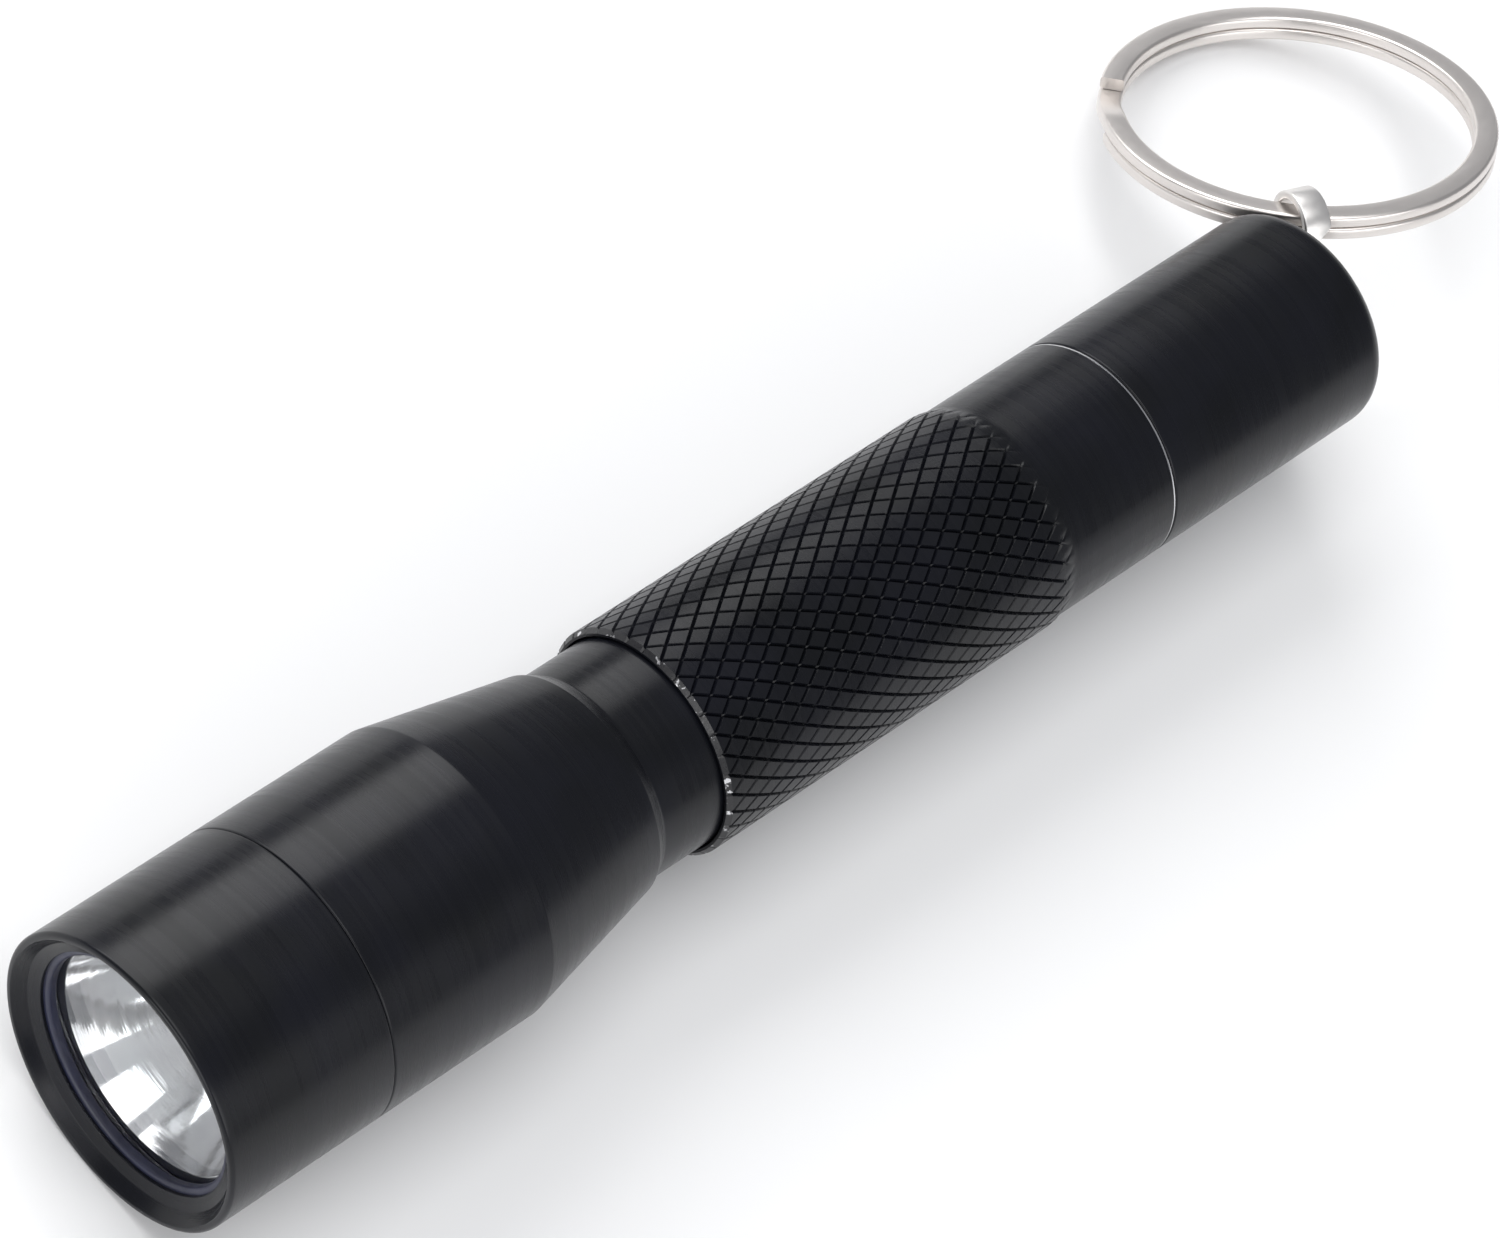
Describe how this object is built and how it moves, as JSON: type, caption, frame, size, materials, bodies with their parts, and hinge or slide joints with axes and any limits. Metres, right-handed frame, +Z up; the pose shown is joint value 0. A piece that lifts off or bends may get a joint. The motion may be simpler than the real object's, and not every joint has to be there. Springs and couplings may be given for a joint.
{
  "type": "keychain flashlight",
  "caption": "Slim black twist-head flashlight for one AAA cell, with a knurled grip, screw-off tail cap and a split ring on a swivel eyelet.",
  "frame": {"origin": "on the light's axis, in the plane of the front rim", "axes": "+Y runs along the light from the front rim to the tail and +Z is up when the light lies on its side; light leaves along -Y"},
  "size_m": [0.0306, 0.1141, 0.0178],
  "materials": {
    "anodised_black": "black anodised, semi-gloss",
    "seal_blue": "satin dark blue",
    "lens_glass": "clear polished",
    "reflector_mirror": "vacuum metallised, smooth",
    "led_silicone": "clear silicone over yellow phosphor",
    "led_ceramic": "matt white",
    "board_white": "white solder mask",
    "wire_red": "insulated wire",
    "brass_turned": "turned",
    "board_green": "green solder mask",
    "chip_black": "moulded",
    "ferrite_grey": "pressed ferrite",
    "capacitor_tan": "fired ceramic",
    "insulator_white": "moulded",
    "rubber_black": "moulded, lightly greased",
    "cell_steel": "nickel plated",
    "cell_label": "plain shrink film",
    "cell_card": "fibre washer",
    "spring_steel": "nickel plated wire",
    "ring_nickel": "satin nickel plated"
  },
  "bodies": {
    "body_tube": {"barrel": "anodised_black", "cell_can": "cell_steel", "cell_label": "cell_label", "cell_insulator": "cell_card", "cell_terminal": "cell_steel", "cell_base": "cell_steel", "tail_seal": "rubber_black"},
    "head_thread": {"head_seal": "rubber_black"},
    "head": {"bezel_ring": "anodised_black", "lens_seal": "seal_blue", "lens": "lens_glass", "reflector": "reflector_mirror", "led_emitter": "led_silicone", "led_package": "led_ceramic", "led_board": "board_white", "led_wires": "wire_red", "module_sleeve": "brass_turned", "driver_board": "board_green", "driver_chip": "chip_black", "driver_inductor": "ferrite_grey", "driver_capacitors": "capacitor_tan", "contact_insulator": "insulator_white", "positive_contact": "brass_turned", "head_shell": "anodised_black"},
    "cap_thread": {"tail_spring": "spring_steel", "spring_plate": "brass_turned"},
    "tail_end": {"tail_cap": "anodised_black", "eyelet_rivet": "ring_nickel", "rivet_washer": "spring_steel"},
    "eyelet": {"eyelet": "ring_nickel"},
    "key_ring": {"split_ring": "ring_nickel"}
  },
  "joints": [
    {"name": "head_advance", "type": "slide", "parent": "body_tube", "child": "head_thread", "axis": [0, 1, 0], "range_m": [0, 0.00038]},
    {"name": "head_twist", "type": "hinge", "parent": "head_thread", "child": "head", "pos_m": [0, 0.0111, 0], "axis": [0, 1, 0], "range_deg": [0, 180]},
    {"name": "cap_travel", "type": "slide", "parent": "body_tube", "child": "cap_thread", "axis": [0, 1, 0], "range_m": [0, 0.0068]},
    {"name": "cap_unscrew", "type": "hinge", "parent": "cap_thread", "child": "tail_end", "pos_m": [0, 0.0817, 0], "axis": [0, 1, 0], "range_deg": [0, 3240]},
    {"name": "eyelet_swivel", "type": "hinge", "parent": "tail_end", "child": "eyelet", "pos_m": [0, 0.0908, 0], "axis": [0, 1, 0], "continuous": true},
    {"name": "ring_swing", "type": "hinge", "parent": "eyelet", "child": "key_ring", "pos_m": [-0.00378, 0.0943, 0.00171], "axis": [0.6612, 0.7129, 0.2336], "range_deg": [-50, 90]}
  ],
  "couplings": [
    {"joint": "head_advance", "follows": "head_twist", "m_per_rad": 0.00011937},
    {"joint": "cap_travel", "follows": "cap_unscrew", "m_per_rad": 0.00011937}
  ]
}
